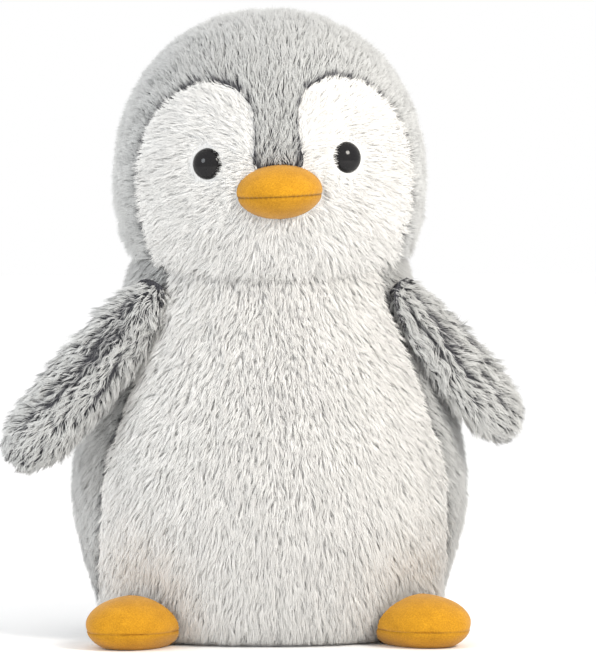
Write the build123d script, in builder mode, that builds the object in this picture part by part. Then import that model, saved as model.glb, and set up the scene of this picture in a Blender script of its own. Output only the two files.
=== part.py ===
"""A plush penguin that stands on a flat base: pile-fabric panels sewn into shells around stuffing.

The penguin faces -Y and its own left side is +X. The origin is the middle of its base, on the
surface that it stands on. All lengths are millimetres.
"""

from build123d import *
import math
import os

os.makedirs("parts", exist_ok=True)

SIDES = {"left": 1, "right": -1}

# Cloth
PILE_SKIN = 5.0  # backing cloth with the pile that stands on it
VELOUR_SKIN = 1.6  # short-napped orange cloth of the beak and feet
CLEARANCE = 0.4  # gap between pieces that move past each other
REACH = 200.0  # longer than any piece, for cutting tools
HALF_SPACE = 600.0  # side of the block that stands for half of everything

# Body: ellipses stacked up the middle, then a dome that the head turns on
BODY_DEPTH_RATIO = 0.89
BASE_RADIUS = 67.0
BODY_STATIONS = (  # height, half width
    (2.5, 74.0),
    (11.0, 81.0),
    (30.0, 87.5),
    (52.0, 93.5),
    (75.0, 96.0),
    (98.0, 93.4),
    (121.0, 87.3),
    (143.0, 80.0),
    (164.0, 73.0),
    (183.0, 66.8),
    (199.0, 59.0),
    (212.0, 48.5),
    (220.0, 37.0),
    (226.0, 22.0),
)
NECK_HEIGHT = 165.0
NECK_RISE = 61.0
SOCKET_HALF_WIDTH = 73.4  # hollow in the head, round about the nodding axis
SOCKET_RADIUS = 64.9
NECK_SEAM_HEIGHT = 194.0  # hidden under the edge of the head
BASE_PANEL_MARGIN = 3.0

# Head: a rounded egg
HEAD_DEPTH_RATIO = 0.95
HEAD_FORWARD = 2.5
HEAD_RADIUS = 75.6
HEAD_HALF_HEIGHT = 82.0
HEAD_CENTRE_HEIGHT = 225.0
HEAD_FULLNESS = 2.1  # 2 is an ellipse, more is squarer
HEAD_LOW_DEGREES = -44.0
HEAD_HIGH_DEGREES = 84.0
HEAD_STEPS = 13
DOME_DEGREES = range(0, 86, 17)  # where a dome of stacked ellipses has its sections

# Face, laid out across and up from the middle of the head
FACE_ROLL = 2.5  # degrees, left side up
GUSSET_HALF_WIDTH = 17.0
EYE_SPACING = 70.0
EYE_UP = 10.0
EYE_RADIUS = 7.5
EYE_DOME = 6.0
EYE_RIM = 1.2
EYE_ROUNDING = 0.6
EYE_SEAT = PILE_SKIN - 0.6
EYE_GAP = 0.3  # round the eye in its seat
SHANK_RADIUS = 2.2
SHANK_LENGTH = 13.0
WASHER_RADIUS = 9.0
WASHER_THICKNESS = 1.5
WASHER_DEPTH = 1.3  # under the eye's seat
BEAK_UP = -5.0
BEAK_WIDTH = 42.5
BEAK_HEIGHT = 27.0
BEAK_PROUD = 16.0  # beyond the fur
BEAK_SINK = 9.0  # behind the fur's tips
BEAK_INNER_SHARE = 0.9
MOUTH_BELOW_MIDDLE = 2.0

END_DEGREES = 80.0  # how far round their rounded ends flippers and feet have sections

# Flippers, from the middle of the root to the middle of the rounded tip
FLIPPER_SKIN = 4.0
FLIPPER_ROOT = {"left": (65.0, -34.0, 163.0), "right": (-63.0, -41.0, 164.0)}
FLIPPER_TIP = {"left": (109.0, -26.0, 111.0), "right": (-118.0, -53.0, 99.0)}
FLIPPER_TURN = {"left": 42.0, "right": -25.0}  # degrees that the front face looks aside
FLIPPER_END = 16.0
FLIPPER_HALF_WIDTH = 20.0
FLIPPER_HALF_THICKNESS = 9.5
FLIPPER_FULLNESS = 2.6
FLIPPER_STEPS = 9
FLIPPER_ROOT_SHARE = 0.78  # width at the root
FLIPPER_SWINGS = (-4.0, 0.0, 10.0, 25.0, 45.0)

# Feet
FOOT_HALF_LENGTH = 30.0
FOOT_HALF_WIDTH = 21.5
FOOT_HEIGHT = 25.0
FOOT_SEAM_HEIGHT = 8.0
FOOT_FORWARD = 58.0
FOOT_OUT = 68.5
FOOT_SPLAY = 28.0
FOOT_STEPS = 9
FOOT_FULLNESS = 2.3
FOOT_ROUND_RATIO = 0.65  # thickness over width
FOOT_HINGE_BACK = 21.5  # from the middle of the foot to the heel seam
FOOT_LIFTS = (0.0, 5.0, 10.0, 15.0)

# Pellet pouch
POUCH_RADIUS = 46.0
POUCH_HALF_HEIGHT = 14.0
POUCH_CENTRE_HEIGHT = 24.0
POUCH_CLOTH = 1.0
PELLET_RADIUS = 2.0
PELLET_PITCH = 9.0
PELLET_ROWS = 5
PELLET_HEIGHT = 17.0

# Back seam: closing stitches and label
STITCH_COUNT = 8
STITCH_PITCH = 7.0
STITCH_LOW = 56.0
STITCH_LENGTH = 7.0
STITCH_RADIUS = 0.45
STITCH_PROUD = 1.5  # beyond the stuffing, inside the cloth
LABEL_WIDTH = 18.0
LABEL_LENGTH = 25.0
LABEL_LEAN = 68.0  # degrees aside from straight back
LABEL_THICKNESS = 0.6
LABEL_HEIGHT = 26.0


def write(part, label):
    """Names a finished piece and writes it."""
    part.label = label
    export_step(part, f"parts/{label}.step")


def stack(plane, stations):
    """A smooth solid through ellipses set along a plane's normal: (height, across, along)."""
    with BuildPart() as solid:
        for height, across, along in stations:
            with BuildSketch(plane.offset(height)):
                Ellipse(across, along)
        loft()
    return solid.part


def piece_of(whole, keep=(), lose=()):
    """The part of a solid that lies in every solid of keep and in none of lose."""
    with BuildPart() as piece:
        add(whole)
        for solid in keep:
            add(solid, mode=Mode.INTERSECT)
        for solid in lose:
            add(solid, mode=Mode.SUBTRACT)
    return piece.part


def slab(low, high):
    """Everything between two heights."""
    with BuildPart() as solid:
        with BuildSketch(Plane.XY.offset(low)):
            Rectangle(2 * REACH, 2 * REACH)
        extrude(amount=high - low)
    return solid.part


def half_space(plane):
    """Everything in front of a plane."""
    with BuildPart() as solid:
        with BuildSketch(plane):
            Rectangle(HALF_SPACE, HALF_SPACE)
        extrude(amount=HALF_SPACE)
    return solid.part


def body_solid(inset):
    """The round of the body and of the neck inside the head, its surface moved in by inset."""
    rings = [(inset, BASE_RADIUS - inset)]
    for height, radius in BODY_STATIONS:
        lowered = height - inset * max(0, height - NECK_HEIGHT) / NECK_RISE
        rings.append((max(lowered, inset + height / 2), radius - inset))
    return stack(Plane.XY, [(height, radius, radius * BODY_DEPTH_RATIO) for height, radius in rings])


def head_solid(inset):
    """The round of the head, its surface moved in by inset, down past the neck."""
    stations = []
    for step in range(HEAD_STEPS):
        span = HEAD_HIGH_DEGREES - HEAD_LOW_DEGREES
        rise = math.sin(math.radians(HEAD_LOW_DEGREES + span * step / (HEAD_STEPS - 1)))
        girth = (1 - abs(rise) ** HEAD_FULLNESS) ** (1 / HEAD_FULLNESS)
        across = (HEAD_RADIUS - inset) * girth
        height = HEAD_CENTRE_HEIGHT + (HEAD_HALF_HEIGHT - inset) * rise
        stations.append((height, across, across * HEAD_DEPTH_RATIO))
    return stack(Plane.XY.move(Location((0, -HEAD_FORWARD, 0))), stations)


def outline_prism(plane, left_edge, right_edge):
    """A prism in front of a plane, between two edges that run from bottom to top.

    Each edge is a list of (across, up) points; one with more than two points is a smooth curve.
    """
    with BuildPart() as prism:
        with BuildSketch(plane):
            with BuildLine():
                one = Spline(*left_edge) if len(left_edge) > 2 else Line(*left_edge)
                other = Spline(*right_edge) if len(right_edge) > 2 else Line(*right_edge)
                if (one @ 0 - other @ 0).length > 0.01:
                    Line(one @ 0, other @ 0)
                if (one @ 1 - other @ 1).length > 0.01:
                    Line(one @ 1, other @ 1)
            make_face()
        extrude(amount=REACH)
    return prism.part


def plug(plane, radius, low, high):
    """A round plug on a plane, between two heights along its normal."""
    with BuildPart() as solid:
        with BuildSketch(plane.offset(low)):
            Circle(radius)
        extrude(amount=high - low)
    return solid.part


def pebble(radius, half_height, centre_height):
    """A flat round bag with a fully rounded edge, centred on its middle height."""
    rim = radius - half_height
    low, high = centre_height - half_height, centre_height + half_height
    with BuildPart() as solid:
        with BuildSketch(Plane.XZ):
            with BuildLine():
                ThreePointArc((rim, low), (radius, centre_height), (rim, high))
                Polyline((rim, high), (0, high), (0, low), (rim, low))
            make_face()
        revolve(axis=Axis.Z)
    return solid.part


def turned(solid, axis, angles):
    """Copies of a solid, turned about an axis by each angle."""
    return [solid.rotate(axis, angle) for angle in angles]


# ---- Body: shell panels, base and stuffing ----

halves = {"left": half_space(Plane.YZ), "right": half_space(-Plane.YZ)}

body_outer = body_solid(0)
body_inner = body_solid(PILE_SKIN)
body_room = body_solid(-CLEARANCE)

base_radius = BASE_RADIUS - BASE_PANEL_MARGIN
with BuildPart() as base_panel:
    with BuildSketch(Plane.XY):
        Ellipse(base_radius, base_radius * BODY_DEPTH_RATIO)
    extrude(amount=PILE_SKIN)
write(base_panel.part, "base_panel")

# The closing stitches and the label lie in the back seam, in room of their own.
with BuildPart() as closing_stitches:
    for step in range(STITCH_COUNT):
        height = STITCH_LOW + step * STITCH_PITCH
        surface, outward = body_inner.find_intersection_points(Axis((0, 0, height), (0, 1, 0)))[-1]
        start = surface + outward * STITCH_PROUD - Vector(STITCH_LENGTH / 2, 0, 0)
        with BuildSketch(Plane(origin=start, z_dir=(1, 0, 0))):
            Circle(STITCH_RADIUS)
        extrude(amount=STITCH_LENGTH)
write(closing_stitches.part, "closing_stitches")

seam_point, seam_outward = body_outer.find_intersection_points(Axis((0, 0, LABEL_HEIGHT), (0, 1, 0)))[-1]
lean = math.radians(LABEL_LEAN)
label_reach = Vector(-math.sin(lean), math.cos(lean), 0)
with BuildPart() as sewn_label:
    with BuildSketch(Plane(seam_point + seam_outward * CLEARANCE, x_dir=(0, 0, 1), z_dir=label_reach)):
        Rectangle(LABEL_WIDTH, LABEL_THICKNESS)
    extrude(amount=LABEL_LENGTH)
write(sewn_label.part, "sewn_label")

above_seam = slab(NECK_SEAM_HEIGHT, REACH + NECK_SEAM_HEIGHT)
body_shell = piece_of(body_outer, lose=(body_inner, base_panel.part, above_seam))

BELLY_EDGE = [(79, -2), (85, 20), (86, 52), (82, 92), (74, 116), (62, 150), (55, 168), (54, 200)]
for name, side in SIDES.items():
    seam = [(side * across, up) for across, up in BELLY_EDGE]
    belly_zone = outline_prism(Plane.XZ, [(0, -2), (0, 200)], seam)
    write(piece_of(body_shell, keep=(belly_zone,)), f"belly_{name}")
    in_seam = (belly_zone, closing_stitches.part, sewn_label.part)
    write(piece_of(body_shell, keep=(halves[name],), lose=in_seam), f"back_{name}")

pouch_outer = pebble(POUCH_RADIUS, POUCH_HALF_HEIGHT, POUCH_CENTRE_HEIGHT)
pouch_inner = pebble(POUCH_RADIUS - POUCH_CLOTH, POUCH_HALF_HEIGHT - POUCH_CLOTH, POUCH_CENTRE_HEIGHT)
write(piece_of(pouch_outer, lose=(pouch_inner,)), "pellet_pouch")

with BuildPart() as pellets:
    with GridLocations(PELLET_PITCH, PELLET_PITCH, PELLET_ROWS, PELLET_ROWS):
        Sphere(PELLET_RADIUS)
    add(pellets.part.moved(Location((0, 0, PELLET_HEIGHT))), mode=Mode.REPLACE)
write(pellets.part, "pellets")

neck_plug = piece_of(body_outer, keep=(above_seam,))
body_stuffing = piece_of(body_inner, lose=(pouch_outer,))
with BuildPart() as body_filling:
    add(body_stuffing)
    add(neck_plug)
write(body_filling.part, "body_filling")

# ---- Head: shell panels ----

head_outer = head_solid(0)
head_inner = head_solid(PILE_SKIN)
roll = math.radians(FACE_ROLL)
face_plane = Plane(
    origin=(0, -HEAD_FORWARD, HEAD_CENTRE_HEIGHT),
    x_dir=(math.cos(roll), 0, math.sin(roll)),
    z_dir=(0, -1, 0),
)


def face_point(across, up):
    """The head's surface and its outward direction at a place on the face."""
    start = face_plane.from_local_coords(Vector(across, up, 0))
    return head_outer.find_intersection_points(Axis(start, (0, -1, 0)))[-1]


beak_surface, beak_outward = face_point(0, BEAK_UP)
beak_plane = Plane(origin=beak_surface, x_dir=face_plane.x_dir, z_dir=(0, -1, 0))
beak_stations = []
for degrees in DOME_DEGREES:
    share = math.cos(math.radians(degrees))
    height = (BEAK_PROUD + BEAK_SINK) * math.sin(math.radians(degrees)) - BEAK_SINK
    beak_stations.append((height, BEAK_WIDTH / 2 * share, BEAK_HEIGHT / 2 * share))
beak_outer = stack(beak_plane, beak_stations)
beak_inner_stations = []
for height, across, up in beak_stations:
    beak_inner_stations.append((height - VELOUR_SKIN, across * BEAK_INNER_SHARE, up * BEAK_INNER_SHARE))
beak_inner = stack(beak_plane, beak_inner_stations)

eye_planes = {}
for name, side in SIDES.items():
    surface, outward = face_point(side * EYE_SPACING / 2, EYE_UP)
    eye_planes[name] = Plane(origin=surface - outward * EYE_SEAT, z_dir=outward)

with BuildPart() as neck_socket:
    with BuildSketch(Plane.XY.offset(NECK_HEIGHT)):
        with BuildLine():
            rim = EllipticalCenterArc((0, 0), SOCKET_HALF_WIDTH, SOCKET_RADIUS, arc_size=180)
            Line(rim @ 1, rim @ 0)
        make_face()
    revolve(axis=Axis((0, 0, NECK_HEIGHT), (1, 0, 0)))
head_shell = piece_of(head_outer, lose=(head_inner, neck_socket.part, beak_outer))

FACE_EDGE = [
    (12, 7),
    (10.8, 25),
    (12.5, 38),
    (19, 45.5),
    (31, 48.5),
    (50, 41),
    (61, 27),
    (66.5, 3),
    (65.5, -15),
    (59, -40),
    (52, -66),
]
with BuildPart() as gusset_zone:
    with BuildSketch(face_plane.offset(-REACH)):
        Rectangle(2 * GUSSET_HALF_WIDTH, 2 * REACH)
    extrude(amount=2 * REACH)

face_zones = {}
for name, side in SIDES.items():
    with BuildPart() as face_zone:
        with BuildSketch(face_plane):
            with BuildLine():
                seam = Spline(*[(side * across, up) for across, up in FACE_EDGE])
                Polyline(seam @ 1, (0, FACE_EDGE[-1][1]), (0, 0), seam @ 0)
            make_face()
        extrude(amount=REACH)
    face_zones[name] = face_zone.part

write(piece_of(head_shell, keep=(gusset_zone.part,), lose=face_zones.values()), "head_gusset")
for name, side in SIDES.items():
    eye_seat = plug(eye_planes[name], EYE_RADIUS + EYE_GAP, 0, REACH)
    shank_hole = plug(eye_planes[name], SHANK_RADIUS, -SHANK_LENGTH, 0)
    write(piece_of(head_shell, keep=(face_zones[name],), lose=(eye_seat, shank_hole)), f"face_{name}")
    side_half = half_space(Plane(origin=face_plane.origin, z_dir=face_plane.x_dir * side))
    side_panel = piece_of(head_shell, keep=(side_half,), lose=(gusset_zone.part, face_zones[name]))
    write(side_panel, f"head_side_{name}")

# ---- Eyes, washers and head stuffing ----

head_hollows = [neck_socket.part, beak_outer]
for name, plane in eye_planes.items():
    dome = [(0, EYE_RADIUS - EYE_ROUNDING, EYE_RADIUS - EYE_ROUNDING)]
    for degrees in DOME_DEGREES:
        radius = EYE_RADIUS * math.cos(math.radians(degrees))
        dome.append((EYE_RIM + (EYE_DOME - EYE_RIM) * math.sin(math.radians(degrees)), radius, radius))
    with BuildPart() as eye:
        add(stack(plane, dome))
        add(plug(plane, SHANK_RADIUS, -SHANK_LENGTH, 0))
    write(eye.part, f"eye_{name}")

    washer_top = -WASHER_DEPTH
    with BuildPart() as washer:
        add(plug(plane, WASHER_RADIUS, washer_top - WASHER_THICKNESS, washer_top))
        add(plug(plane, SHANK_RADIUS, -SHANK_LENGTH, 0), mode=Mode.SUBTRACT)
    write(washer.part, f"eye_washer_{name}")
    head_hollows.append(plug(plane, WASHER_RADIUS + CLEARANCE, washer_top - WASHER_THICKNESS, 0))
    head_hollows.append(plug(plane, SHANK_RADIUS + CLEARANCE, -SHANK_LENGTH - CLEARANCE, 0))

write(piece_of(head_inner, lose=head_hollows), "head_filling")

# ---- Beak ----

beak_whole = piece_of(beak_outer, lose=(head_inner,))
beak_shell = piece_of(beak_whole, lose=(beak_inner,))
mouth_origin = beak_surface - face_plane.y_dir * MOUTH_BELOW_MIDDLE
write(piece_of(beak_shell, keep=(half_space(Plane(mouth_origin, z_dir=face_plane.y_dir)),)), "beak_upper")
write(piece_of(beak_shell, keep=(half_space(Plane(mouth_origin, z_dir=-face_plane.y_dir)),)), "beak_lower")
write(piece_of(beak_whole, keep=(beak_inner,)), "beak_filling")

# ---- Flippers ----


def flipper_stations(length, skin):
    """A mitten: narrower at the root, rounded at both ends."""
    half_length = length / 2 + FLIPPER_END
    stations = []
    for step in range(FLIPPER_STEPS):
        along = math.sin(math.radians(END_DEGREES) * (2 * step / (FLIPPER_STEPS - 1) - 1))
        girth = (1 - abs(along) ** FLIPPER_FULLNESS) ** (1 / FLIPPER_FULLNESS)
        taper = FLIPPER_ROOT_SHARE + (1 - FLIPPER_ROOT_SHARE) * (along + 1) / 2
        across = FLIPPER_HALF_WIDTH * girth * taper * (1 - skin / FLIPPER_HALF_WIDTH)
        through = FLIPPER_HALF_THICKNESS * girth * (1 - skin / FLIPPER_HALF_THICKNESS)
        stations.append((length / 2 + along * (half_length - skin), across, through))
    return stations


for name, side in SIDES.items():
    root = Vector(*FLIPPER_ROOT[name])
    reach = Vector(*FLIPPER_TIP[name]) - root
    turn = math.radians(FLIPPER_TURN[name])
    across = reach.cross(Vector(math.sin(turn), -math.cos(turn), 0)).normalized()
    facing = across.cross(reach).normalized()
    section_plane = Plane(origin=root, x_dir=across, z_dir=reach)
    swing_axis = Axis(root, facing * side)
    rooms = turned(body_room, swing_axis, [-angle for angle in FLIPPER_SWINGS])
    flipper_outer = stack(section_plane, flipper_stations(reach.length, 0))
    flipper_inner = stack(section_plane, flipper_stations(reach.length, FLIPPER_SKIN))
    flipper_shell = piece_of(flipper_outer, lose=[flipper_inner, *rooms])
    front_half = half_space(Plane(origin=root, z_dir=facing))
    rear_half = half_space(Plane(origin=root, z_dir=-facing))
    write(piece_of(flipper_shell, keep=(front_half,)), f"flipper_{name}_front")
    write(piece_of(flipper_shell, keep=(rear_half,)), f"flipper_{name}_back")
    write(piece_of(flipper_inner, lose=rooms), f"flipper_{name}_filling")

# ---- Feet ----


def foot_solid(plane, skin):
    """A pad stacked along the foot, then cut level where it stands."""
    stations = []
    for step in range(FOOT_STEPS):
        along = math.sin(math.radians(END_DEGREES) * (2 * step / (FOOT_STEPS - 1) - 1))
        girth = (1 - abs(along) ** FOOT_FULLNESS) ** (1 / FOOT_FULLNESS)
        across = (FOOT_HALF_WIDTH - skin) * girth
        stations.append((along * (FOOT_HALF_LENGTH - skin), across, across * FOOT_ROUND_RATIO))
    return piece_of(stack(plane, stations), lose=(slab(-REACH, skin),))


for name, side in SIDES.items():
    splay = math.radians(FOOT_SPLAY)
    toes = Vector(side * math.sin(splay), -math.cos(splay), 0)
    middle = Vector(side * FOOT_OUT, -FOOT_FORWARD, 0)
    heel = middle - toes * FOOT_HINGE_BACK
    foot_plane = Plane(
        origin=middle + Vector(0, 0, FOOT_HEIGHT - FOOT_HALF_WIDTH * FOOT_ROUND_RATIO),
        x_dir=toes.cross(Vector(0, 0, 1)),
        z_dir=toes,
    )
    lift_axis = Axis(heel, toes.cross(Vector(0, 0, 1)))
    rooms = turned(body_room, lift_axis, [-angle for angle in FOOT_LIFTS])
    foot_outer = foot_solid(foot_plane, 0)
    foot_inner = foot_solid(foot_plane, VELOUR_SKIN)
    foot_shell = piece_of(foot_outer, lose=[foot_inner, *rooms])
    below_seam = slab(-REACH, FOOT_SEAM_HEIGHT)
    write(piece_of(foot_shell, lose=(below_seam,)), f"foot_{name}_top")
    write(piece_of(foot_shell, keep=(below_seam,)), f"foot_{name}_sole")
    write(piece_of(foot_inner, lose=rooms), f"foot_{name}_filling")
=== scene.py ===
"""Looks of the plush penguin: cloth and pile, velour beak and feet, glossy eyes, light and camera.

Lengths are in metres, +Z is up and the penguin faces -Y. Left and right are the penguin's own.
"""

import math

import bpy
import numpy as np
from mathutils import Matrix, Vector
from mathutils.bvhtree import BVHTree
from mathutils.kdtree import KDTree


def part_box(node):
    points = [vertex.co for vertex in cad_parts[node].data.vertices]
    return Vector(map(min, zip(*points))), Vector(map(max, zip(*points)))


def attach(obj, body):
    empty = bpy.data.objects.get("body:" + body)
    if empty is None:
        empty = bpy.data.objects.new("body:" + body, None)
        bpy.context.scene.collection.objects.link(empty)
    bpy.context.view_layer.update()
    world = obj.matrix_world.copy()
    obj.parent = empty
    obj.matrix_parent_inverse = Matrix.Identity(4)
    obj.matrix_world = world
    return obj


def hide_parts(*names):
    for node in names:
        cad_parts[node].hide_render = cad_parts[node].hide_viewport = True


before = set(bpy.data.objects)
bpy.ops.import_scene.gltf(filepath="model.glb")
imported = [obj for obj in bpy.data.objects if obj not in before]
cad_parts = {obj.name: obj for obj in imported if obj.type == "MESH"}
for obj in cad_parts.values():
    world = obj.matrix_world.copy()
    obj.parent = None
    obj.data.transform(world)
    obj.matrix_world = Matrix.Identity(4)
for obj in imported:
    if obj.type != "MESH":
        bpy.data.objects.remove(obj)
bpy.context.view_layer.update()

MM = 0.001
OPEN_AIR = 60 * MM          # a panel's face is outside if nothing lies this far in front of it
WHITE_PANELS = ("belly_left", "belly_right", "face_left", "face_right")
TORSO_PANELS = ("belly_left", "belly_right", "back_left", "back_right")
HEAD_PANELS = ("head_gusset", "face_left", "face_right", "head_side_left", "head_side_right")
SIDES = ("left", "right")

BACKING_SINK = 4 * MM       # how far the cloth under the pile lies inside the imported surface
HEAD_SINK = 2.4 * MM
FLIPPER_SINK = 3 * MM
FUR_TOP = 198 * MM          # the torso's pile ends here, well up inside the head's hollow
FLOOR_GAP = 0.6 * MM        # no strand reaches lower than this
MOST_STRANDS = 19000        # in one piece
FLIPPER_DENSITY = 1.4       # strands on a square millimetre
SOFT_SHADING = 0.35         # how far a strand's own roundness tilts its shading from the surface's
STRAND_WIDTH = 0.34 * MM
HEAD_STRAND_WIDTH = 0.32 * MM
GREY_FINENESS = 0.85        # a grey strand's width against a white one's, on the torso and head

# For the grey and the white pile, in this order: strands on a square millimetre and clump width.
TORSO_DENSITY = (1.5, 1.7)
TORSO_CLUMP = (2.2 * MM, 2.0 * MM)
HEAD_DENSITY = (2.3, 1.8)
HEAD_CLUMP = (1.6 * MM, 2.0 * MM)
FLIPPER_CLUMP = 2.6 * MM
TORSO_GREY_LENGTH = 8.5 * MM
TORSO_WHITE_LENGTH = 9.5 * MM
FACE_LENGTH = 7.4 * MM
CAP_LENGTH = 6.6 * MM       # at the bottom of the cap
CROWN_SHORTER = 1.2 * MM    # by this on the crown
FLIPPER_LENGTH = 8.0 * MM

EYE_CLEAR = 9.0 * MM        # no pile roots this near an eye's middle
EYE_HOLLOW = 5 * MM         # the pile is shorter this far round it

CAMERA_AZIMUTH = math.radians(-4)
CAMERA_ELEVATION = math.radians(3)
CAMERA_DISTANCE = 3.6
CAMERA_LENS = 394
CAMERA_SENSOR = 36
WORLD_GLOW = 1.05
KEY_WATTS = 17
FILL_WATTS = 5
LAMP_WIDTH = 0.5
LIGHT_AIM = (0, 0, 0.15)
FLOOR_HALF = 4.0
AIM_ACROSS = 14.0 * MM      # the view's middle, from the body's middle
AIM_HEIGHT = 147.2 * MM

EYE_RADIUS = 7.5 * MM
EYE_DOME = 6.0 * MM         # from the seat to the top of the dome
EYE_RIM = 1.2 * MM
SHANK_RADIUS = 2.2 * MM
SHANK_REACH = 13.0 * MM
SHANK_BEVEL = 0.5 * MM


# ---------------------------------------------------------------- meshes read from the frame

def arrays(node):
    """A CAD node's points and triangles."""
    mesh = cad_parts[node].data
    mesh.calc_loop_triangles()
    points = np.empty(len(mesh.vertices) * 3, np.float32)
    mesh.vertices.foreach_get("co", points)
    corners = np.empty(len(mesh.loop_triangles) * 3, np.int32)
    mesh.loop_triangles.foreach_get("vertices", corners)
    return points.reshape(-1, 3).astype(float), corners.reshape(-1, 3)


def unit(vectors):
    lengths = np.linalg.norm(vectors, axis=-1, keepdims=True)
    return vectors / np.maximum(lengths, 1e-12)


def tree_of(nodes):
    """One ray-casting tree over several CAD nodes."""
    points, faces = [], []
    for node in nodes:
        own, corners = arrays(node)
        faces.extend((corners + len(points)).tolist())
        points.extend(own.tolist())
    return BVHTree.FromPolygons(points, faces)


def outside(node, tree, heart):
    """Which of a node's triangles face away from the body's heart and look into open air."""
    points, corners = arrays(node)
    a, b, c = (points[corners[:, k]] for k in range(3))
    normals = unit(np.cross(b - a, c - a))
    middles = (a + b + c) / 3
    starts = middles + normals * 0.3 * MM
    away = np.sum(unit(heart(middles)) * normals, axis=1) > 0.15
    clear = [
        bool(outward) and tree.ray_cast(Vector(start), Vector(normal), OPEN_AIR)[0] is None
        for start, normal, outward in zip(starts, normals, away)
    ]
    return np.array(clear)


def surface(nodes, tree, heart):
    """The open-air surface of several panels sewn together: for each panel its points, its open
    triangles, smooth normals at its points, which agree where two panels meet, and which of its
    points are in the open air."""
    parts, keys, sums = {}, [], []
    for node in nodes:
        points, corners = arrays(node)
        corners = corners[outside(node, tree, heart)]
        a, b, c = (points[corners[:, k]] for k in range(3))
        across = np.cross(b - a, c - a)
        total = np.zeros_like(points)
        for k in range(3):
            np.add.at(total, corners[:, k], across)
        parts[node] = [points, corners]
        keys.append(np.round(points / (0.02 * MM)).astype(np.int64))
        sums.append(total)
    _, same = np.unique(np.concatenate(keys), axis=0, return_inverse=True)
    same = same.ravel()
    together = np.zeros((same.max() + 1, 3))
    np.add.at(together, same, np.concatenate(sums))
    open_air = (np.linalg.norm(together, axis=1) > 0)[same]
    normals = unit(together)[same]
    first = 0
    for node in nodes:
        own = slice(first, first + len(parts[node][0]))
        parts[node] += [normals[own], open_air[own]]
        first = own.stop
    return parts


# ---------------------------------------------------------------- smooth random patterns

def waves(points, size, seed, count=7):
    """A smooth random value, about -1 to 1, that changes over the given size."""
    draw = np.random.default_rng(seed)
    total = np.zeros(len(points))
    for _ in range(count):
        along = unit(draw.normal(size=3))
        pace = 2 * math.pi / size * draw.uniform(0.6, 1.3)
        total += np.sin(points @ along * pace + draw.uniform(0, 2 * math.pi))
    return total / math.sqrt(count)


def along_surface(direction, normals):
    """A direction, or one for each point, laid flat on the surface."""
    direction = np.broadcast_to(np.asarray(direction, float), normals.shape)
    flat = direction - normals * np.sum(direction * normals, axis=1, keepdims=True)
    return unit(flat)


# ---------------------------------------------------------------- node materials

def new_material(name):
    material = bpy.data.materials.new(name)
    material.use_nodes = True
    nodes, links = material.node_tree.nodes, material.node_tree.links
    return material, nodes, links, nodes["Principled BSDF"]


def ramp(nodes, stops):
    """A colour ramp with these (place, colour) stops."""
    made = nodes.new("ShaderNodeValToRGB")
    elements = made.color_ramp.elements
    elements[0].position, elements[0].color = stops[0][0], (*stops[0][1], 1)
    elements[1].position, elements[1].color = stops[-1][0], (*stops[-1][1], 1)
    for place, colour in stops[1:-1]:
        elements.new(place).color = (*colour, 1)
    return made


def noise(nodes, links, scale, detail=3, stretch=None):
    """Noise over the object's own coordinates, stretched along an axis if asked."""
    place = nodes.new("ShaderNodeTexCoord")
    made = nodes.new("ShaderNodeTexNoise")
    made.inputs["Scale"].default_value = scale
    made.inputs["Detail"].default_value = detail
    if stretch is None:
        links.new(place.outputs["Object"], made.inputs["Vector"])
    else:
        mapping = nodes.new("ShaderNodeMapping")
        mapping.inputs["Scale"].default_value = stretch
        links.new(place.outputs["Object"], mapping.inputs["Vector"])
        links.new(mapping.outputs["Vector"], made.inputs["Vector"])
    return made


def multiply(nodes, links, first, second, share=1.0):
    """The product of two colours."""
    made = nodes.new("ShaderNodeMix")
    made.data_type = "RGBA"
    made.blend_type = "MULTIPLY"
    made.inputs[0].default_value = share
    links.new(first, made.inputs[6])
    links.new(second, made.inputs[7])
    return made.outputs[2]


def bumped(nodes, links, shader, height, strength, depth):
    """Gives a shader a bump from a height output."""
    bump = nodes.new("ShaderNodeBump")
    bump.inputs["Strength"].default_value = strength
    bump.inputs["Distance"].default_value = depth
    links.new(height, bump.inputs["Height"])
    links.new(bump.outputs["Normal"], shader.inputs["Normal"])


def pile_material(name, stops, sheen):
    """Strands: colour runs from root to tip, with a shade for each strand and soft blotches."""
    material, nodes, links, shader = new_material(name)
    along = nodes.new("ShaderNodeAttribute")
    along.attribute_name = "fur"
    colours = ramp(nodes, stops)
    links.new(along.outputs["Fac"], colours.inputs["Fac"])
    shade = nodes.new("ShaderNodeAttribute")
    shade.attribute_name = "shade"
    blotch = noise(nodes, links, 60, 2)
    soft = ramp(nodes, [(0.3, (0.93, 0.93, 0.93)), (0.7, (1, 1, 1))])
    links.new(blotch.outputs["Fac"], soft.inputs["Fac"])
    tinted = multiply(nodes, links, colours.outputs["Color"], shade.outputs["Color"])
    links.new(multiply(nodes, links, tinted, soft.outputs["Color"]), shader.inputs["Base Color"])
    shader.inputs["Roughness"].default_value = 0.8
    shader.inputs["Specular IOR Level"].default_value = 0.25
    shader.inputs["Sheen Weight"].default_value = sheen
    shader.inputs["Sheen Roughness"].default_value = 0.5
    return material


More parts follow.
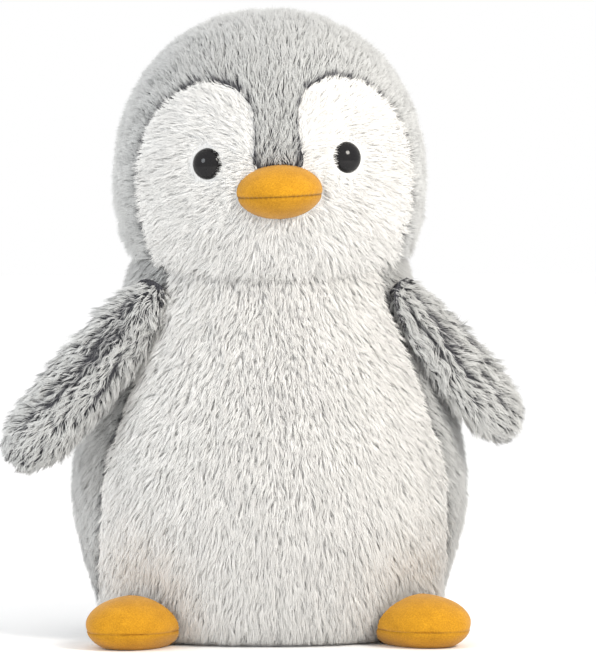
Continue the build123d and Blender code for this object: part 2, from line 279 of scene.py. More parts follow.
def knit_material(name, dark, light):
    """The knitted cloth that carries the pile."""
    material, nodes, links, shader = new_material(name)
    place = nodes.new("ShaderNodeTexCoord")
    rows = nodes.new("ShaderNodeTexWave")
    rows.inputs["Scale"].default_value = 420
    rows.inputs["Distortion"].default_value = 2.0
    links.new(place.outputs["Object"], rows.inputs["Vector"])
    colours = ramp(nodes, [(0.2, dark), (0.8, light)])
    links.new(rows.outputs["Fac"], colours.inputs["Fac"])
    uneven = noise(nodes, links, 90)
    soft = ramp(nodes, [(0.3, (0.85, 0.85, 0.85)), (0.7, (1, 1, 1))])
    links.new(uneven.outputs["Fac"], soft.inputs["Fac"])
    mixed = multiply(nodes, links, colours.outputs["Color"], soft.outputs["Color"])
    links.new(mixed, shader.inputs["Base Color"])
    shader.inputs["Roughness"].default_value = 0.95
    shader.inputs["Specular IOR Level"].default_value = 0.1
    bumped(nodes, links, shader, rows.outputs["Fac"], 0.4, 0.3 * MM)
    return material


def fibre_material():
    """Loose polyester wadding."""
    material, nodes, links, shader = new_material("polyester_wadding")
    wisps = noise(nodes, links, 220, 6, (1, 1, 3))
    colours = ramp(nodes, [(0.3, (0.62, 0.62, 0.60)), (0.7, (0.88, 0.88, 0.86))])
    links.new(wisps.outputs["Fac"], colours.inputs["Fac"])
    links.new(colours.outputs["Color"], shader.inputs["Base Color"])
    shader.inputs["Roughness"].default_value = 0.95
    shader.inputs["Sheen Weight"].default_value = 0.3
    bumped(nodes, links, shader, wisps.outputs["Fac"], 0.6, 1.0 * MM)
    return material


def plastic_material(name, dark, light, roughness):
    """Moulded plastic with a faint flow pattern."""
    material, nodes, links, shader = new_material(name)
    flow = noise(nodes, links, 130, 4)
    colours = ramp(nodes, [(0.35, dark), (0.65, light)])
    links.new(flow.outputs["Fac"], colours.inputs["Fac"])
    links.new(colours.outputs["Color"], shader.inputs["Base Color"])
    rough = nodes.new("ShaderNodeMapRange")
    rough.inputs["To Min"].default_value = roughness * 0.8
    rough.inputs["To Max"].default_value = roughness * 1.2
    links.new(flow.outputs["Fac"], rough.inputs["Value"])
    links.new(rough.outputs["Result"], shader.inputs["Roughness"])
    return material


def eye_material():
    """Deep black glass-like plastic, polished, with a few fine scuffs."""
    material, nodes, links, shader = new_material("polished_black_eye")
    scuffs = noise(nodes, links, 900, 5, (1, 1, 6))
    colours = ramp(nodes, [(0.3, (0.004, 0.004, 0.005)), (0.75, (0.012, 0.011, 0.011))])
    links.new(scuffs.outputs["Fac"], colours.inputs["Fac"])
    links.new(colours.outputs["Color"], shader.inputs["Base Color"])
    rough = nodes.new("ShaderNodeMapRange")
    rough.inputs["From Min"].default_value = 0.45
    rough.inputs["From Max"].default_value = 0.8
    rough.inputs["To Min"].default_value = 0.06
    rough.inputs["To Max"].default_value = 0.22
    links.new(scuffs.outputs["Fac"], rough.inputs["Value"])
    links.new(rough.outputs["Result"], shader.inputs["Roughness"])
    shader.inputs["Specular IOR Level"].default_value = 0.22
    shader.inputs["Coat Weight"].default_value = 0.08
    shader.inputs["Coat Roughness"].default_value = 0.03
    return material


def velour_material(name, deep, bright):
    """Short dense velour: grain from the lie of its fibres, paler where they catch the light."""
    material, nodes, links, shader = new_material(name)
    grain = noise(nodes, links, 1500, 4)
    colours = ramp(nodes, [(0.32, deep), (0.68, bright)])
    links.new(grain.outputs["Fac"], colours.inputs["Fac"])
    lie = noise(nodes, links, 140, 3)
    soft = ramp(nodes, [(0.3, (0.86, 0.84, 0.80)), (0.7, (1, 1, 1))])
    links.new(lie.outputs["Fac"], soft.inputs["Fac"])
    # Painted shade: each piece's shade values darken the velour along its seam, and all over on the
    # undersides.
    depth = nodes.new("ShaderNodeAttribute")
    depth.attribute_name = "shade"
    mixed = multiply(nodes, links, colours.outputs["Color"], soft.outputs["Color"])
    mixed = multiply(nodes, links, mixed, depth.outputs["Color"])
    links.new(mixed, shader.inputs["Base Color"])
    shader.inputs["Roughness"].default_value = 0.85
    shader.inputs["Specular IOR Level"].default_value = 0.2
    shader.inputs["Sheen Weight"].default_value = 0.15
    shader.inputs["Sheen Roughness"].default_value = 0.45
    bumped(nodes, links, shader, grain.outputs["Fac"], 0.5, 0.35 * MM)
    return material


def woven_material(name, dark, light, scale):
    """A plain weave: two crossed sets of threads."""
    material, nodes, links, shader = new_material(name)
    place = nodes.new("ShaderNodeTexCoord")
    threads = []
    for axis in ("X", "Z"):
        made = nodes.new("ShaderNodeTexWave")
        made.bands_direction = axis
        made.inputs["Scale"].default_value = scale
        made.inputs["Distortion"].default_value = 0.6
        links.new(place.outputs["Object"], made.inputs["Vector"])
        threads.append(made)
    over = nodes.new("ShaderNodeMath")
    over.operation = "MAXIMUM"
    links.new(threads[0].outputs["Fac"], over.inputs[0])
    links.new(threads[1].outputs["Fac"], over.inputs[1])
    colours = ramp(nodes, [(0.3, dark), (0.95, light)])
    links.new(over.outputs["Value"], colours.inputs["Fac"])
    links.new(colours.outputs["Color"], shader.inputs["Base Color"])
    shader.inputs["Roughness"].default_value = 0.7
    shader.inputs["Sheen Weight"].default_value = 0.15
    bumped(nodes, links, shader, over.outputs["Value"], 0.5, 0.15 * MM)
    return material


# The white pile's roots are a little lighter than its tips: painted light that offsets the shadow
# deep in the pile.
WHITE_PILE = pile_material(
    "white_pile",
    [(0.0, (0.97, 0.96, 0.935)), (0.5, (0.955, 0.945, 0.92)), (1.0, (0.935, 0.925, 0.895))],
    0.25,
)
GREY_PILE = pile_material(
    "grey_pile",
    [(0.0, (0.04, 0.04, 0.046)), (0.22, (0.12, 0.12, 0.13)), (0.45, (0.55, 0.555, 0.545)),
     (1.0, (0.76, 0.765, 0.75))],
    0.25,
)
WHITE_KNIT = knit_material("white_knit_backing", (0.74, 0.74, 0.73), (0.86, 0.86, 0.85))
GREY_KNIT = knit_material("grey_knit_backing", (0.035, 0.035, 0.04), (0.09, 0.09, 0.10))
WADDING = fibre_material()
EYE_BLACK = eye_material()
WASHER_WHITE = plastic_material("washer_white", (0.70, 0.70, 0.68), (0.80, 0.80, 0.78), 0.4)
PELLET_CLEAR = plastic_material("pellet_milky", (0.62, 0.64, 0.66), (0.78, 0.80, 0.82), 0.25)
ORANGE_VELOUR = velour_material("orange_velour", (0.46, 0.205, 0.006), (0.64, 0.31, 0.013))
POUCH_CLOTH = woven_material("pouch_cloth", (0.55, 0.53, 0.48), (0.82, 0.80, 0.75), 700)
THREAD = woven_material("sewing_thread", (0.05, 0.05, 0.06), (0.14, 0.14, 0.16), 900)
LABEL_TAPE = woven_material("label_tape", (0.70, 0.70, 0.68), (0.90, 0.90, 0.88), 900)


# ---------------------------------------------------------------- pieces

def mesh_piece(name, points, faces, materials, body, smooth=True):
    """A new piece from points and faces, riding on a body."""
    mesh = bpy.data.meshes.new(name)
    mesh.from_pydata([tuple(p) for p in points], [], [tuple(f) for f in faces])
    mesh.update()
    if smooth:
        mesh.shade_smooth()
    for material in materials:
        mesh.materials.append(material)
    piece = bpy.data.objects.new(name, mesh)
    bpy.context.scene.collection.objects.link(piece)
    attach(piece, body)
    return piece


def point_values(mesh, name, values):
    """One number for each point, under a name that a material reads."""
    attribute = mesh.attributes.new(name, "FLOAT", "POINT")
    attribute.data.foreach_set("value", np.asarray(values, np.float32).ravel())


def backing(node, body, part, sink, material):
    """The cloth that carries the pile: the CAD panel, its outer face drawn in under the pile."""
    points, _, normals, used = part
    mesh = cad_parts[node].data.copy()
    mesh.name = node + "_cloth"
    moved = points.copy()
    ease = 0.25 * MM * waves(points[used], 14 * MM, 5)
    moved[used] -= normals[used] * (sink + ease)[:, None]
    mesh.vertices.foreach_set("co", moved.astype(np.float32).ravel())
    mesh.materials.clear()
    mesh.materials.append(material)
    mesh.update()
    piece = bpy.data.objects.new(node + "_cloth", mesh)
    bpy.context.scene.collection.objects.link(piece)
    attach(piece, body)
    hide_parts(node)
    return piece


def scatter(part, density, draw):
    """Random places on a panel's open face: points and normals, evenly by area."""
    points, corners, normals, _ = part
    a, b, c = (points[corners[:, k]] for k in range(3))
    areas = np.linalg.norm(np.cross(b - a, c - a), axis=1) / 2
    count = int(areas.sum() / MM ** 2 * density)
    chosen = draw.choice(len(areas), size=count, p=areas / areas.sum())
    u, v = draw.random(count), draw.random(count)
    folded = u + v > 1
    u[folded], v[folded] = 1 - u[folded], 1 - v[folded]
    weights = np.stack([1 - u - v, u, v], axis=1)[:, :, None]
    where = (points[corners[chosen]] * weights).sum(1)
    facing = unit((normals[corners[chosen]] * weights).sum(1))
    return where, facing


def nearest(points, centres):
    """For each point, the number of its nearest centre and the distance."""
    tree = KDTree(len(centres))
    for number, centre in enumerate(centres):
        tree.insert(centre, number)
    tree.balance()
    found = [tree.find(point) for point in points]
    return np.array([f[1] for f in found]), np.array([f[2] for f in found])


def strand_mesh(name, base, middle, tip, widths, side, facing, shade, colour_place):
    """One mesh of bent, closed, tapering strands, three-sided, seven points each. Its shading
    normals lean towards the surface that it stands on, so the pile takes light as one soft mass."""
    count = len(base)
    points = np.empty((count, 7, 3))
    lit = np.empty((count, 7, 3))
    turn = [2 * math.pi * k / 3 for k in range(3)]
    axis_low, axis_high = unit(middle - base), unit(tip - base)
    sections = ((0, base, axis_low, widths[0]), (3, middle, axis_high, widths[1]))
    for first, centre, axis, width in sections:
        level = unit(side - axis * np.sum(side * axis, axis=1, keepdims=True))
        rise = np.cross(axis, level)
        for k in range(3):
            outward = math.cos(turn[k]) * level + math.sin(turn[k]) * rise
            points[:, first + k] = centre + width[:, None] * outward
            lit[:, first + k] = unit(facing + SOFT_SHADING * outward)
    points[:, 6] = tip
    lit[:, 6] = unit(facing + SOFT_SHADING * axis_high)
    points[:, :, 2] = np.maximum(points[:, :, 2], FLOOR_GAP)
    pattern = [2, 1, 0]
    starts = [0]
    for k in range(3):
        starts.append(len(pattern))
        pattern += [k, (k + 1) % 3, 3 + (k + 1) % 3, 3 + k]
    for k in range(3):
        starts.append(len(pattern))
        pattern += [3 + k, 3 + (k + 1) % 3, 6]
    loops = (np.arange(count)[:, None] * 7 + np.array(pattern)).ravel()
    begins = (np.arange(count)[:, None] * len(pattern) + np.array(starts)).ravel()
    mesh = bpy.data.meshes.new(name)
    mesh.vertices.add(count * 7)
    mesh.vertices.foreach_set("co", points.astype(np.float32).ravel())
    mesh.loops.add(len(loops))
    mesh.loops.foreach_set("vertex_index", loops.astype(np.int32))
    mesh.polygons.add(len(begins))
    mesh.polygons.foreach_set("loop_start", begins.astype(np.int32))
    mesh.update(calc_edges=True)
    mesh.shade_smooth()
    normals = mesh.attributes.new("custom_normal", "FLOAT_VECTOR", "POINT")
    normals.data.foreach_set("vector", lit.astype(np.float32).ravel())
    point_values(mesh, "fur", np.repeat(colour_place[:, None], 7, 1)
                 * np.array([0.3, 0.3, 0.3, 0.6, 0.6, 0.6, 1.0]))
    point_values(mesh, "shade", np.repeat(shade, 7))
    cells = math.ceil(math.sqrt(count))
    column, row = np.arange(count) % cells, np.arange(count) // cells
    across = np.array([0.15, 0.5, 0.85, 0.15, 0.5, 0.85, 0.5])
    upward = np.array([0.1, 0.1, 0.1, 0.55, 0.55, 0.55, 0.9])
    u = (column[:, None] + across) / cells
    v = (row[:, None] + upward) / cells
    flat = np.stack([u.ravel(), v.ravel()], axis=1)[loops]
    layer = mesh.uv_layers.new(name="OFBake")
    layer.data.foreach_set("uv", flat.astype(np.float32).ravel())
    return mesh


def grow(coat, body, draw, seed, sink=BACKING_SINK, lean=(30, 60), gather=0.45, unrest=1.0,
         width=STRAND_WIDTH):
    """Pile on a body: strands that lean the way they are combed and gather into clumps. The coat
    gives each strand's root, facing, comb, length, shade, colour place, clump and panel."""
    where, facing, comb = coat["where"], coat["facing"], coat["comb"]
    count = len(where)
    chosen = np.flatnonzero(draw.random(count) * coat["crowd"] < 1)
    group, _ = nearest(where, where[chosen])
    locks = len(chosen)
    swing = draw.normal(0, math.radians(15), locks)[group] + draw.normal(0, math.radians(10), count)
    swing = unrest * (swing + math.radians(20) * waves(where, 15 * MM, seed + 3))
    side = np.cross(facing, comb)
    flow = comb * np.cos(swing)[:, None] + side * np.sin(swing)[:, None]
    side = np.cross(facing, flow)
    uneven = 0.08 * draw.normal(size=locks)[group] + 0.07 * draw.normal(size=count)
    reach = coat["length"] * (1 + unrest * (uneven + 0.12 * waves(where, 10 * MM, seed + 5)))
    tilt = draw.normal(size=locks)[group] + waves(where, 12 * MM, seed + 7)
    tilt = unrest * math.radians(7) * tilt
    low, high = math.radians(lean[0]) + tilt, math.radians(lean[1]) + tilt
    base = where - facing * (sink + 0.3 * MM)
    lower = facing * np.cos(low)[:, None] + flow * np.sin(low)[:, None]
    upper = facing * np.cos(high)[:, None] + flow * np.sin(high)[:, None]
    middle = base + (0.45 * reach)[:, None] * lower
    tip = middle + (0.55 * reach)[:, None] * upper
    pull = gather * (0.7 + 0.5 * draw.random(count))[:, None]
    goal_tip, goal_middle = tip[chosen][group], middle[chosen][group]
    tip = tip + (goal_tip - tip) * pull + draw.normal(0, 0.35 * MM, (count, 3))
    middle = middle + (goal_middle - middle) * 0.25
    varied = 0.04 * draw.normal(size=locks)[group] + 0.04 * draw.normal(size=count)
    shade = np.clip(coat["shade"] * (1 + varied), 0.05, 1.15)
    thick = width * coat["fine"] * (0.8 + 0.4 * draw.random(count))
    for number, node in enumerate(coat["nodes"]):
        white = node in WHITE_PANELS
        own = np.flatnonzero(coat["panel"] == number)
        own = own[np.argsort(where[own, 2], kind="stable")]
        parts = math.ceil(len(own) / MOST_STRANDS)
        for part in range(parts):
            some = own[part * len(own) // parts:(part + 1) * len(own) // parts]
            title = node + "_pile" if parts == 1 else f"{node}_pile_{part + 1}"
            mesh = strand_mesh(title, base[some], middle[some], tip[some],
                               (thick[some] / 2, thick[some] * 0.42), side[some], facing[some],
                               shade[some], coat["place"][some])
            mesh.materials.append(WHITE_PILE if white else GREY_PILE)
            piece = bpy.data.objects.new(title, mesh)
            bpy.context.scene.collection.objects.link(piece)
            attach(piece, body)


def crowd(density, clump):
    """How many strands share a clump of this width."""
    return max(2.0, density * math.pi / 4 * (clump / MM) ** 2)


def gathered(nodes, rows):
    """One coat from each panel's own rows of values."""
    coat = {key: np.concatenate([row[key] for row in rows]) for key in rows[0]}
    coat["panel"] = np.repeat(np.arange(len(rows)), [len(row["where"]) for row in rows])
    coat["nodes"] = nodes
    return coat


# ---------------------------------------------------------------- the body and the head

def comb_torso(where, facing, white):
    """Down the body, fanning out a little from the middle."""
    sideways = 0.25 * where[:, 0] / (80 * MM)
    fan = np.stack([sideways, np.zeros(len(where)), -np.ones(len(where))], axis=1)
    return along_surface(fan, facing)


def comb_head(where, facing, white):
    """The face lies away from the beak and down. The cap lies up from the beak, back over the
    crown, and back and down along the sides."""
    low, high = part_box("beak_upper")
    beak = np.array((low + high) / 2)
    if white:
        return along_surface(unit(where - beak) + np.array([0, 0, -0.35]), facing)
    front = np.clip((-facing[:, 1] - 0.25) / 0.4, 0, 1)
    back = np.stack([np.zeros(len(where)), np.ones(len(where)), -0.35 + 1.2 * front], axis=1)
    return along_surface(back, facing)


def from_eye(points, side):
    """How far points lie from the line through an eye and its washer."""
    place, axis, _ = eye_line(side)
    offset = points - place
    return np.linalg.norm(offset - (offset @ axis)[:, None] * axis, axis=1)


def eye_line(side):
    """An eye's washer, the way that the eye looks, and its dome's height above the washer."""
    washer_low, washer_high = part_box(f"eye_washer_{side}")
    washer = np.array((washer_low + washer_high) / 2)
    points, _ = arrays(f"eye_{side}")
    reach = np.linalg.norm(points - washer, axis=1)
    shank_end = points[reach > reach.max() - 0.15 * MM].mean(0)
    axis = unit(washer - shank_end)
    return washer, axis, float(((points - washer) @ axis).max())


def torso_heart(points):
    """Straight out from the body's upright axis."""
    return points * (1, 1, 0)


def head_heart(points):
    """Straight out from the middle of the head."""
    low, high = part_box("head_filling")
    return points - np.array((low + high) / 2)


def cap_length(where):
    """The grey of the head: shortest on the crown, longer down the sides."""
    low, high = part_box("head_gusset")
    rise = np.clip((where[:, 2] - low[2]) / (high[2] - low[2]), 0, 1)
    return CAP_LENGTH - CROWN_SHORTER * rise


def even_length(length):
    """The same length everywhere."""
    return lambda where: np.full(len(where), length)


def seam_with_white(node, where, facing, white_roots, seed):
    """The grey pile along the white panels, where its dark roots show in breaks, and just above
    the beak: each strand's colour place, where 1 is its own tip's, and the share of its length
    that it keeps."""
    _, gap = nearest(where, white_roots[::3])
    close = np.clip(1.3 - (gap - 0.8 * MM) / (2.2 * MM), 0, 1)
    close *= np.clip(0.85 + 0.5 * waves(where, 7 * MM, seed + 11), 0, 1)
    if node == "head_gusset":
        close *= 0.75
    place = 1 - 0.88 * close
    if node == "head_gusset":
        beak_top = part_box("beak_upper")[1][2]
        low = np.clip(1 - (where[:, 2] - beak_top) / (14 * MM), 0, 1) * (facing[:, 1] < 0)
        breaks = np.clip(0.6 + 0.7 * waves(where, 6 * MM, seed + 13), 0, 1)
        place = place * (1 - 0.45 * low * breaks)
    return place, 1 - 0.25 * close


def plush_body(body, panels, heart, comb, density, clump, length, seed, top=None,
               sink=BACKING_SINK, **manner):
    """Cloth and pile for the panels of one body. Density, clump and length are each a pair, for
    the grey and the white pile."""
    parts = surface(panels, tree_of(panels), heart)
    draw = np.random.default_rng(seed)
    roots = {node: scatter(parts[node], density[node in WHITE_PANELS], draw) for node in panels}
    white_roots = np.concatenate([roots[n][0] for n in panels if n in WHITE_PANELS])
    grey_roots = np.concatenate([roots[n][0] for n in panels if n not in WHITE_PANELS])
    rows = []
    for node in panels:
        white = node in WHITE_PANELS
        where, facing = roots[node]
        keep = np.ones(len(where), bool)
        if top is not None:
            keep &= where[:, 2] < top
        if node.startswith("face"):
            keep &= from_eye(where, "left") > EYE_CLEAR
            keep &= from_eye(where, "right") > EYE_CLEAR
        where, facing = where[keep], facing[keep]
        place = np.ones(len(where))
        reach = length[white](where)
        if node.startswith("face"):
            for side in SIDES:
                near = np.clip(1 - (from_eye(where, side) - EYE_CLEAR) / EYE_HOLLOW, 0, 1)
                reach = reach * (1 - 0.55 * near)
        lie = comb(where, facing, white)
        if white:
            _, gap = nearest(where, grey_roots[::3])
            edge = np.clip(1.2 - (gap - 0.6 * MM) / (3.0 * MM), 0, 1)
            reach = reach * (1 - 0.5 * edge)
        else:
            place, kept = seam_with_white(node, where, facing, white_roots, seed)
            reach = reach * kept
        if node.startswith("belly"):
            other = "belly_right" if node == "belly_left" else "belly_left"
            _, gap = nearest(where, roots[other][0][::2])
            seam = np.exp(-(gap / (1.6 * MM)) ** 2)
            reach = reach * (1 - 0.3 * seam)
        ones = np.ones(len(where))
        rows.append({"where": where, "facing": facing, "comb": lie, "length": reach, "shade": ones,
                     "place": place, "crowd": ones * crowd(density[white], clump[white]),
                     "fine": ones if white else ones * GREY_FINENESS})
        backing(node, body, parts[node], sink, WHITE_KNIT if white else GREY_KNIT)
    grow(gathered(panels, rows), body, draw, seed, sink=sink, **manner)


# ---------------------------------------------------------------- flippers

def flipper(side, seed):
    """One flipper: long wrinkles run from its root to its round tip."""
    body = f"flipper_{side}"
    panels = [f"{body}_front", f"{body}_back"]
    every = np.concatenate([arrays(n)[0] for n in panels])
    middle = every.mean(0)
    spread = np.linalg.svd(every - middle, full_matrices=False)[2]
    along = spread[0] * -np.sign(spread[0][2])
    across = spread[1]
    half = np.abs((every - middle) @ along).max() - 15 * MM

    def heart(points):
        reach = np.clip((points - middle) @ along, -half, half)
        return points - middle - reach[:, None] * along

    parts = surface(panels, tree_of(panels), heart)
    reach = (every - middle) @ along
    start, end = reach.min(), reach.max()
    draw = np.random.default_rng(seed)
    partings = draw.uniform(-1, 1, 6)
    rows = []
    for node in panels:
        where, facing = scatter(parts[node], FLIPPER_DENSITY, draw)
        run = ((where - middle) @ along - start) / (end - start)
        offset = (where - middle) @ across
        comb = along_surface(along, facing)
        place = np.ones(len(where))
        length = FLIPPER_LENGTH * (1 - 0.45 * np.clip((run - 0.82) / 0.18, 0, 1))
        for number, parting in enumerate(partings):
            line = parting * 17 * MM * (0.45 + 0.55 * run)
            line = line + 1.5 * MM * np.sin(run * 7 + 2.1 * number)
            gap = offset - line
            begin, finish = 0.05 + 0.12 * (number % 3), 0.55 + 0.4 * ((number * 5) % 4) / 3
            live = np.clip((run - begin) / 0.08, 0, 1) * np.clip((finish - run) / 0.12, 0, 1)
            near = np.exp(-(gap / (1.2 * MM)) ** 2) * live
            aside = np.sign(gap) * np.exp(-np.abs(gap) / (3 * MM)) * live
            comb = along_surface(comb + 0.55 * aside[:, None] * across, facing)
            place = place * (1 - 0.62 * near)
            length = length * (1 - 0.35 * near)
        ones = np.ones(len(where))
        rows.append({"where": where, "facing": facing, "comb": comb, "length": length,
                     "shade": ones, "place": place, "fine": ones,
                     "crowd": ones * crowd(FLIPPER_DENSITY, FLIPPER_CLUMP)})
        backing(node, body, parts[node], FLIPPER_SINK, GREY_KNIT)
    grow(gathered(panels, rows), body, draw, seed, sink=FLIPPER_SINK, lean=(38, 70))


# ---------------------------------------------------------------- velour pieces

def ray_shell(name, nodes, centre, up, front, half, body, sizes, skin, depth_at, shade_at):
    """One half of a stuffed velour form, above or below its seam, as a closed shell. Its outer face
    follows the CAD form, found by rays from the centre, and is then pulled in where the seam is."""
    tree = tree_of(nodes)
    up, front = unit(np.array(up, float)), unit(np.array(front, float))
    right = np.cross(front, up)
    around, rings = sizes
    points, shades = [], []
    grid = {}
    for layer in range(2):
        for ring in range(rings):
            tilt = half * math.radians(90) * ring / rings
            for step in range(around):
                turn = 2 * math.pi * step / around
                level = right * math.cos(turn) + front * math.sin(turn)
                ray = level * math.cos(tilt) + up * math.sin(tilt)
                grid[layer, ring, step] = len(points)
                points.append((ray, layer))
        grid[layer, "pole"] = len(points)
        points.append((up * half, layer))
    places = []
    for ray, layer in points:
        hit, _, _, distance = tree.ray_cast(Vector(centre) + Vector(ray) * 0.4, -Vector(ray), 0.4)
        distance = 0.4 - distance
        surface_point = np.array(centre) + ray * distance
        height = float(np.dot(surface_point - centre, up))
        turn = math.atan2(float(np.dot(ray, front)), float(np.dot(ray, right)))
        pulled = distance - depth_at(height, turn, surface_point) - layer * skin
        places.append(np.array(centre) + ray * pulled)
        # Painted shade for each point, which the velour's colour is multiplied by.
        shades.append(shade_at(height, turn, surface_point))
    faces = []
    for layer in range(2):
        for ring in range(rings):
            for step in range(around):
                other = (step + 1) % around
                if ring + 1 < rings:
                    face = [grid[layer, ring, step], grid[layer, ring, other],
                            grid[layer, ring + 1, other], grid[layer, ring + 1, step]]
                else:
                    face = [grid[layer, ring, step], grid[layer, ring, other], grid[layer, "pole"]]
                faces.append(face if (layer == 0) == (half > 0) else face[::-1])
    for step in range(around):
        other = (step + 1) % around
        face = [grid[0, 0, other], grid[0, 0, step], grid[1, 0, step], grid[1, 0, other]]
        faces.append(face if half > 0 else face[::-1])
    piece = mesh_piece(name, places, faces, [ORANGE_VELOUR], body)
    point_values(piece.data, "shade", shades)
    return piece


def pucker(depth, reach, count):
    """A seam's pull: deepest at the seam, and stronger at each stitch."""
    def pull(height, turn, _):
        stitch = 0.72 + 0.28 * math.cos(count * turn + 0.6 * math.sin(3 * turn))
        return depth * math.exp(-(height / reach) ** 2) * stitch
    return pull


def foot(side):
    low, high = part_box(f"foot_{side}_top")
    seam = low[2] + 0.2 * MM
    centre = np.array([(low[0] + high[0]) / 2, (low[1] + high[1]) / 2, seam])
    nodes = [f"foot_{side}_top", f"foot_{side}_sole", f"foot_{side}_filling"]
    pull = pucker(0.3 * MM, 0.8 * MM, 46)

    def wrinkled(height, turn, point):
        fold = 0.45 * MM * math.sin(5 * turn + 9 * height / (25 * MM))
        fold *= math.exp(-height / (9 * MM))
        return pull(height, turn, point) + max(0.0, fold)

    # Painted shade: the top is drawn a little darker along the seam's crease.
    def shaded(height, turn, point):
        return 1 - 0.1 * math.exp(-(height / (0.6 * MM)) ** 2)

    # Painted shade: the sole is drawn darker all over, as it lies underneath, and darker still
    # along the seam.
    def sole_shaded(height, turn, point):
        return 0.92 - 0.08 * math.exp(-(height / (0.6 * MM)) ** 2)

    top = ray_shell(f"foot_{side}_velour", nodes, centre, (0, 0, 1), (0, -1, 0), 1, f"foot_{side}",
                    (160, 40), 1.3 * MM, wrinkled, shaded)
    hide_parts(f"foot_{side}_top")
    sole = ray_shell(f"foot_{side}_sole_velour", nodes, centre, (0, 0, 1), (0, -1, 0), -1,
                     f"foot_{side}", (160, 24), 1.3 * MM, pull, sole_shaded)
    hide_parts(f"foot_{side}_sole")


def beak():
    low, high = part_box("beak_upper")
    _, under_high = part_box("beak_lower")
    centre = np.array([(low[0] + high[0]) / 2, (low[1] + high[1]) / 2 + 1 * MM,
                       (low[2] + under_high[2]) / 2])
    nodes = ["beak_upper", "beak_lower", "beak_filling"]
    tilt = math.radians(2.5)
    up = (-math.sin(tilt), 0, math.cos(tilt))
    pull = pucker(0.9 * MM, 0.9 * MM, 34)

    # Painted shade: the upper half is drawn darker along the mouth's seam.
    def shaded(height, turn, point):
        return 1 - 0.5 * math.exp(-(height / (0.5 * MM)) ** 2)

    # Painted shade: the lower half is drawn darker all over, as it faces down, and darker still
    # along the mouth's seam.
    def under_shaded(height, turn, point):
        return 0.86 - 0.36 * math.exp(-(height / (0.5 * MM)) ** 2)

    upper = ray_shell("beak_upper_velour", nodes, centre, up, (0, -1, 0), 1, "head",
                      (150, 34), 1.2 * MM, pull, shaded)
    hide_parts("beak_upper")
    lower = ray_shell("beak_lower_velour", nodes, centre, up, (0, -1, 0), -1, "head",
                      (150, 34), 1.2 * MM, pull, under_shaded)
    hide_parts("beak_lower")


# ---------------------------------------------------------------- eyes

def eye(side):
    """A polished dome with a thin rim and a shank, turned about the washer's axis."""
    washer, axis, height = eye_line(side)
    level = unit(np.cross(axis, (0, 0, 1)))
    rise = np.cross(level, axis)
    seat = height - EYE_DOME
    profile = [(0.0, height)]
    steps = 24
    for k in range(1, steps + 1):
        angle = math.radians(90) * k / steps
        rise_here = seat + EYE_RIM + (EYE_DOME - EYE_RIM) * math.cos(angle)
        profile.append((EYE_RADIUS * math.sin(angle), rise_here))
    profile += [(EYE_RADIUS - 0.1 * MM, seat + 0.3 * MM), (EYE_RADIUS - 0.5 * MM, seat),
                (SHANK_RADIUS, seat), (SHANK_RADIUS, seat - SHANK_REACH + SHANK_BEVEL),
                (SHANK_RADIUS - SHANK_BEVEL, seat - SHANK_REACH), (0.0, seat - SHANK_REACH)]
    around = 64
    places, faces, rings = [], [], []
    for r, h in profile:
        if r == 0.0:
            rings.append([len(places)])
            places.append(washer + axis * h)
            continue
        ring = []
        for k in range(around):
            turn = 2 * math.pi * k / around
            ring.append(len(places))
            places.append(washer + axis * h + r * (level * math.cos(turn) + rise * math.sin(turn)))
        rings.append(ring)
    for first, second in zip(rings, rings[1:]):
        for k in range(around):
            other = (k + 1) % around
            if len(first) == 1:
                faces.append((first[0], second[other], second[k]))
            elif len(second) == 1:
                faces.append((first[k], first[other], second[0]))
            else:
                faces.append((first[k], first[other], second[other], second[k]))
    piece = mesh_piece(f"eye_{side}_polished", places, faces, [EYE_BLACK], "head")
    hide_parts(f"eye_{side}")


# ---------------------------------------------------------------- CAD pieces that keep their shape

def dress(node, material):
    """A new material on a CAD piece."""
    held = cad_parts[node]
    held.data.materials.clear()
    held.data.materials.append(material)


# ---------------------------------------------------------------- stage, light and camera

def area_light(name, place, aim, size, power, colour):
    light = bpy.data.lights.new(name, "AREA")
    light.shape = "DISK"
    light.size = size
    light.energy = power
    light.color = colour
    lamp = bpy.data.objects.new(name, light)
    lamp.location = place
    lamp.rotation_euler = (Vector(aim) - Vector(place)).to_track_quat("-Z", "Y").to_euler()
    bpy.context.scene.collection.objects.link(lamp)


def stage():
    mesh = bpy.data.meshes.new("floor")
    half = FLOOR_HALF
    corners = [(-half, -half, 0), (half, -half, 0), (half, half, 0), (-half, half, 0)]
    mesh.from_pydata(corners, [], [(0, 1, 2, 3)])
    material, _, _, shader = new_material("floor")
    shader.inputs["Base Color"].default_value = (0.97, 0.97, 0.97, 1)
    shader.inputs["Roughness"].default_value = 0.9
    shader.inputs["Specular IOR Level"].default_value = 0.1
    mesh.materials.append(material)
    floor = bpy.data.objects.new("floor", mesh)
    bpy.context.scene.collection.objects.link(floor)


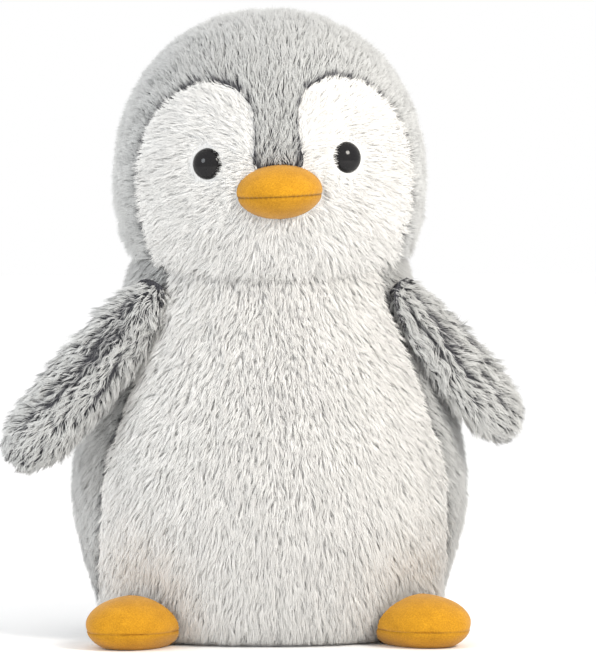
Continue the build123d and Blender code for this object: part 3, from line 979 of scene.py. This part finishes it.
def lighting():
    world = bpy.data.worlds.new("studio")
    bpy.context.scene.world = world
    world.use_nodes = True
    nodes, links = world.node_tree.nodes, world.node_tree.links
    glow = nodes["Background"]
    glow.inputs["Strength"].default_value = WORLD_GLOW
    backdrop = nodes.new("ShaderNodeBackground")
    path = nodes.new("ShaderNodeLightPath")
    choice = nodes.new("ShaderNodeMixShader")
    for shown in (glow, backdrop):
        shown.inputs["Color"].default_value = (1, 1, 1, 1)
    links.new(path.outputs["Is Camera Ray"], choice.inputs["Fac"])
    links.new(glow.outputs["Background"], choice.inputs[1])
    links.new(backdrop.outputs["Background"], choice.inputs[2])
    links.new(choice.outputs["Shader"], nodes["World Output"].inputs["Surface"])
    area_light("key", (0.9, -1.1, 1.0), LIGHT_AIM, LAMP_WIDTH, KEY_WATTS, (1.0, 0.95, 0.88))
    area_light("fill", (-1.2, -0.9, 0.7), LIGHT_AIM, LAMP_WIDTH, FILL_WATTS, (0.9, 0.95, 1.0))


def camera():
    data = bpy.data.cameras.new("camera")
    data.lens = CAMERA_LENS
    data.sensor_fit = "VERTICAL"
    data.sensor_height = CAMERA_SENSOR
    made = bpy.data.objects.new("camera", data)
    right = Vector((math.cos(CAMERA_AZIMUTH), math.sin(CAMERA_AZIMUTH), 0))
    back = Vector((
        math.sin(CAMERA_AZIMUTH) * math.cos(CAMERA_ELEVATION),
        -math.cos(CAMERA_AZIMUTH) * math.cos(CAMERA_ELEVATION),
        math.sin(CAMERA_ELEVATION),
    ))
    aim = right * AIM_ACROSS + Vector((0, 0, AIM_HEIGHT))
    made.location = aim + back * CAMERA_DISTANCE
    made.rotation_euler = back.to_track_quat("Z", "Y").to_euler()
    bpy.context.scene.collection.objects.link(made)
    bpy.context.scene.camera = made


bpy.context.scene.view_settings.view_transform = "Standard"
camera()
stage()
lighting()

plush_body("torso", TORSO_PANELS, torso_heart, comb_torso, TORSO_DENSITY, TORSO_CLUMP,
           (even_length(TORSO_GREY_LENGTH), even_length(TORSO_WHITE_LENGTH)), 11,
           top=FUR_TOP, gather=0.2, unrest=0.5)
plush_body("head", HEAD_PANELS, head_heart, comb_head, HEAD_DENSITY, HEAD_CLUMP,
           (cap_length, even_length(FACE_LENGTH)), 23,
           sink=HEAD_SINK, gather=0.3, unrest=0.8, width=HEAD_STRAND_WIDTH)
for index, side in enumerate(SIDES):
    flipper(side, 31 + index)
    foot(side)
    eye(side)
    dress(f"eye_washer_{side}", WASHER_WHITE)
    dress(f"flipper_{side}_filling", WADDING)
    dress(f"foot_{side}_filling", WADDING)
beak()
for inner in ("body_filling", "head_filling", "beak_filling"):
    dress(inner, WADDING)
dress("base_panel", WHITE_KNIT)
dress("pellet_pouch", POUCH_CLOTH)
dress("pellets", PELLET_CLEAR)
dress("closing_stitches", THREAD)
dress("sewn_label", LABEL_TAPE)
